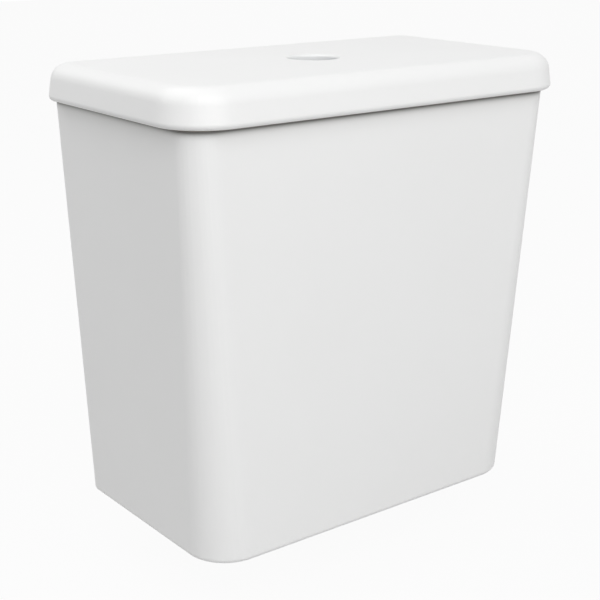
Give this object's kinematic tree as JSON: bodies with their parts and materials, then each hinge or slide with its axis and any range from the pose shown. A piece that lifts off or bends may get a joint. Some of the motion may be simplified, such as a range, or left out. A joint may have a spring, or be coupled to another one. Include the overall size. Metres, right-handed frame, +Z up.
{
  "type": "toilet cistern",
  "caption": "White glazed close-coupled toilet cistern with a lift-off lid, an empty round button hole, a dual flush valve and a bottom-entry fill valve.",
  "frame": {"origin": "centre of the flush outlet, on the underside of the tank", "axes": "+Z up, -Y towards the front, +Y towards the wall, +X to the right seen from the front"},
  "size_m": [0.3698, 0.2059, 0.4127],
  "materials": {
    "glazed_china": "smooth white glaze with a clear gloss",
    "white_plastic": "moulded white plastic, satin",
    "grey_plastic": "moulded grey plastic, satin",
    "blue_plastic": "moulded blue plastic, satin",
    "green_plastic": "moulded green plastic, satin",
    "black_rubber": "dull black rubber",
    "red_rubber": "dull red silicone rubber",
    "soft_tube": "soft milky tube",
    "brass": "plain brass",
    "zinc_steel": "zinc-plated steel"
  },
  "bodies": {
    "tank": {"cistern_tank": "glazed_china", "lid_pads": "black_rubber", "flush_valve_base": "white_plastic", "base_seal_washer": "black_rubber", "flush_back_nut": "white_plastic", "doughnut_washer": "black_rubber", "flush_valve_cage": "white_plastic", "actuator_bridge": "white_plastic", "full_plunger_spring": "zinc_steel", "half_plunger_spring": "zinc_steel", "lift_lever_pins": "zinc_steel", "inlet_shank": "white_plastic", "inlet_seal_washer": "black_rubber", "inlet_lock_nut": "white_plastic", "inlet_filter": "grey_plastic", "riser_tube": "white_plastic", "riser_lock_ring": "grey_plastic", "fill_valve_head": "white_plastic", "valve_diaphragm": "black_rubber", "fill_valve_cap": "grey_plastic", "float_arm_pin": "zinc_steel", "refill_clip": "white_plastic", "refill_tube": "soft_tube", "coupling_bolts": "brass", "bolt_seal_washers": "black_rubber", "bolt_head_washers": "zinc_steel", "bolt_outer_washers": "zinc_steel", "bolt_nuts": "brass", "blanking_plug": "white_plastic", "blanking_plug_washer": "black_rubber", "blanking_plug_nut": "white_plastic"},
    "lid": {"cistern_lid": "glazed_china"},
    "flush_tube": {"overflow_tube": "white_plastic", "flush_seal": "red_rubber", "seal_retainer": "grey_plastic", "lift_yoke": "grey_plastic"},
    "full_plunger": {"full_flush_plunger": "blue_plastic"},
    "half_plunger": {"half_flush_plunger": "green_plastic"},
    "full_lever": {"full_lift_lever": "grey_plastic"},
    "half_lever": {"half_lift_lever": "grey_plastic"},
    "partial_float": {"partial_flush_float": "white_plastic"},
    "fill_float": {"float_cup": "white_plastic"},
    "fill_arm": {"float_arm": "grey_plastic"},
    "level_screw": {"water_level_screw": "grey_plastic"}
  },
  "joints": [
    {"name": "lid_lift", "type": "slide", "parent": "tank", "child": "lid", "axis": [0, 0, 1], "range_m": [0, 0.12]},
    {"name": "flush_tube_lift", "type": "slide", "parent": "tank", "child": "flush_tube", "axis": [0, 0, 1], "range_m": [0, 0.00838]},
    {"name": "full_flush_press", "type": "slide", "parent": "tank", "child": "full_plunger", "axis": [0, 0, -1], "range_m": [0, 0.008], "stiffness_N_per_m": 200, "springref_m": -0.01, "deforming": ["full_plunger_spring"]},
    {"name": "full_lever_turn", "type": "hinge", "parent": "tank", "child": "full_lever", "pos_m": [0.005, 0.012, 0.2845], "axis": [0, 1, 0], "range_deg": [0, 22]},
    {"name": "half_flush_press", "type": "slide", "parent": "tank", "child": "half_plunger", "axis": [0, 0, -1], "range_m": [0, 0.008], "stiffness_N_per_m": 200, "springref_m": -0.01, "deforming": ["half_plunger_spring"]},
    {"name": "half_lever_turn", "type": "hinge", "parent": "tank", "child": "half_lever", "pos_m": [-0.005, -0.012, 0.2845], "axis": [0, -1, 0], "range_deg": [0, 22]},
    {"name": "partial_float_rise", "type": "slide", "parent": "tank", "child": "partial_float", "axis": [0, 0, 1], "range_m": [0, 0.03]},
    {"name": "fill_float_rise", "type": "slide", "parent": "tank", "child": "fill_float", "axis": [0, 0, 1], "range_m": [0, 0.01]},
    {"name": "float_arm_turn", "type": "hinge", "parent": "tank", "child": "fill_arm", "pos_m": [0.11175, 0.011, 0.2643], "axis": [-1, 0, 0], "range_deg": [0, 20.6]},
    {"name": "level_screw_turn", "type": "hinge", "parent": "fill_float", "child": "level_screw", "pos_m": [0.11175, -0.017, 0.2], "axis": [0, 0, 1], "continuous": true}
  ],
  "couplings": [
    {"joint": "full_flush_press", "follows": "flush_tube_lift", "ratio": 0.95454},
    {"joint": "full_lever_turn", "follows": "flush_tube_lift", "rad_per_m": 45.455},
    {"joint": "half_lever_turn", "follows": "half_flush_press", "rad_per_m": 47.619},
    {"joint": "float_arm_turn", "follows": "fill_float_rise", "rad_per_m": 35.714}
  ]
}
